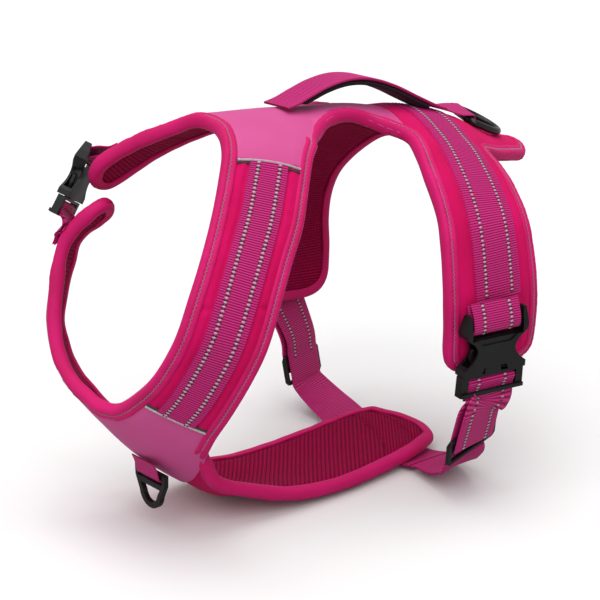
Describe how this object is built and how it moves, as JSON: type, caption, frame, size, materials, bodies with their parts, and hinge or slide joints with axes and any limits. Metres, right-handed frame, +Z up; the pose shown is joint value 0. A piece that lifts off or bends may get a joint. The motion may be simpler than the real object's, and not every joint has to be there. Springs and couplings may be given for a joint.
{
  "type": "no pull dog harness",
  "caption": "Padded dog harness with reflective webbing, side release buckles, a top handle and lead rings on the back and chest.",
  "frame": {"origin": "centre of the harness's bounding box on the floor it rests on", "axes": "+Z up, -X is where the dog's head points, -Y is the dog's left side"},
  "size_m": [0.362, 0.2504, 0.273],
  "materials": {
    "shell_fabric": "matte woven polyester in strong pink",
    "mesh_lining": "ribbed air mesh in dark pink",
    "smooth_cover": "smooth satin cover in lighter pink",
    "edge_binding": "folded elastic tape with a reflective zigzag stitch",
    "webbing": "ribbed polyester webbing with two reflective dashed threads",
    "reflective_piping": "light grey reflective piping",
    "handle_padding": "soft black neoprene padding",
    "black_plastic": "black acetal, satin",
    "ring_metal": "black coated welded wire"
  },
  "bodies": {
    "harness": {"back_ring_keeper": "webbing", "belly_edging": "edge_binding", "belly_lining": "mesh_lining", "belly_pad": "shell_fabric", "belly_strap": "webbing", "bridge_cover": "smooth_cover", "bridge_pad": "shell_fabric", "chest_cover": "smooth_cover", "chest_lining": "mesh_lining", "chest_pad": "shell_fabric", "chest_piping": "reflective_piping", "front_ring_loop": "webbing", "girth_lining": "mesh_lining", "girth_pad": "shell_fabric", "girth_webbing": "webbing", "handle_grip": "handle_padding", "handle_strap": "webbing", "left_buckle_loop": "webbing", "left_girth_buckle_female": "black_plastic", "left_girth_strap": "webbing", "left_leg_edging": "edge_binding", "left_shoulder_lining": "mesh_lining", "left_shoulder_pad": "shell_fabric", "left_shoulder_webbing": "webbing", "lower_arm_webbing": "webbing", "lower_neck_arm_lining": "mesh_lining", "lower_neck_arm_pad": "shell_fabric", "neck_buckle_female": "black_plastic", "neck_buckle_loop": "webbing", "neck_edging": "edge_binding", "neck_strap": "webbing", "rear_edging": "edge_binding", "right_buckle_loop": "webbing", "right_girth_buckle_female": "black_plastic", "right_girth_strap": "webbing", "right_leg_edging": "edge_binding", "tail_pad": "shell_fabric", "upper_arm_webbing": "webbing", "upper_neck_arm_lining": "mesh_lining", "upper_neck_arm_pad": "shell_fabric", "yoke_cover": "smooth_cover", "yoke_lining": "mesh_lining", "yoke_pad": "shell_fabric", "yoke_piping": "reflective_piping"},
    "left_girth_buckle_male": {"left_girth_buckle_male": "black_plastic"},
    "left_girth_buckle_left_latch": {"left_girth_buckle_left_latch": "black_plastic"},
    "left_girth_buckle_right_latch": {"left_girth_buckle_right_latch": "black_plastic"},
    "right_girth_buckle_male": {"right_girth_buckle_male": "black_plastic"},
    "right_girth_buckle_left_latch": {"right_girth_buckle_left_latch": "black_plastic"},
    "right_girth_buckle_right_latch": {"right_girth_buckle_right_latch": "black_plastic"},
    "neck_buckle_male": {"neck_buckle_male": "black_plastic"},
    "neck_buckle_left_latch": {"neck_buckle_left_latch": "black_plastic"},
    "neck_buckle_right_latch": {"neck_buckle_right_latch": "black_plastic"},
    "back_d_ring": {"back_d_ring": "ring_metal"},
    "front_d_ring": {"front_d_ring": "black_plastic"},
    "left_slider": {"left_slider": "black_plastic"},
    "right_slider": {"right_slider": "black_plastic"}
  },
  "joints": [
    {"name": "left_girth_buckle_release", "type": "slide", "parent": "harness", "child": "left_girth_buckle_male", "axis": [0.0012, 0.0796, -0.9968], "range_m": [0, 0.024], "deforming": ["left_girth_strap"]},
    {"name": "left_girth_buckle_left_latch_squeeze", "type": "hinge", "parent": "left_girth_buckle_male", "child": "left_girth_buckle_left_latch", "pos_m": [0.0333, -0.11365, 0.09541], "axis": [0.1188, 0.9898, 0.0792], "range_deg": [0, 7], "stiffness_Nm_per_rad": 0.8},
    {"name": "left_girth_buckle_right_latch_squeeze", "type": "hinge", "parent": "left_girth_buckle_male", "child": "left_girth_buckle_right_latch", "pos_m": [0.05713, -0.11649, 0.09521], "axis": [-0.1188, -0.9898, -0.0792], "range_deg": [0, 7]},
    {"name": "right_girth_buckle_release", "type": "slide", "parent": "harness", "child": "right_girth_buckle_male", "axis": [0, 0, -1], "range_m": [0, 0.024], "deforming": ["right_girth_strap"]},
    {"name": "right_girth_buckle_left_latch_squeeze", "type": "hinge", "parent": "right_girth_buckle_male", "child": "right_girth_buckle_left_latch", "pos_m": [0.07014, 0.11893, 0.11527], "axis": [0.0995, -0.995, 0], "range_deg": [0, 7], "stiffness_Nm_per_rad": 0.8},
    {"name": "right_girth_buckle_right_latch_squeeze", "type": "hinge", "parent": "right_girth_buckle_male", "child": "right_girth_buckle_right_latch", "pos_m": [0.04626, 0.11655, 0.11527], "axis": [-0.0995, 0.995, 0], "range_deg": [0, 7]},
    {"name": "neck_buckle_release", "type": "slide", "parent": "harness", "child": "neck_buckle_male", "axis": [-0.5241, 0.0573, -0.8497], "range_m": [0, 0.018], "deforming": ["neck_strap"]},
    {"name": "neck_buckle_left_latch_squeeze", "type": "hinge", "parent": "neck_buckle_male", "child": "neck_buckle_left_latch", "pos_m": [-0.1365, 0.08895, 0.19803], "axis": [0.4817, -0.8029, -0.3512], "range_deg": [0, 7], "stiffness_Nm_per_rad": 0.8},
    {"name": "neck_buckle_right_latch_squeeze", "type": "hinge", "parent": "neck_buckle_male", "child": "neck_buckle_right_latch", "pos_m": [-0.1478, 0.07941, 0.20435], "axis": [-0.4817, 0.8029, 0.3512], "range_deg": [0, 7]},
    {"name": "back_d_ring_swing", "type": "hinge", "parent": "harness", "child": "back_d_ring", "pos_m": [0.1282, -0.00046, 0.23127], "axis": [0.2018, 0.9584, 0.2018], "range_deg": [-125, 0]},
    {"name": "front_d_ring_swing", "type": "hinge", "parent": "harness", "child": "front_d_ring", "pos_m": [-0.1493, -0.00846, 0.04067], "axis": [0, 1, 0], "range_deg": [-30, 90]},
    {"name": "left_slider_adjust", "type": "slide", "parent": "harness", "child": "left_slider", "axis": [-0.047, -0.3173, 0.9471], "range_m": [0, 0.0065]},
    {"name": "right_slider_adjust", "type": "slide", "parent": "harness", "child": "right_slider", "axis": [-0.0481, 0.1932, 0.98], "range_m": [0, 0.022]}
  ],
  "couplings": [
    {"joint": "left_girth_buckle_right_latch_squeeze", "follows": "left_girth_buckle_left_latch_squeeze", "ratio": 1},
    {"joint": "right_girth_buckle_right_latch_squeeze", "follows": "right_girth_buckle_left_latch_squeeze", "ratio": 1},
    {"joint": "neck_buckle_right_latch_squeeze", "follows": "neck_buckle_left_latch_squeeze", "ratio": 1}
  ]
}
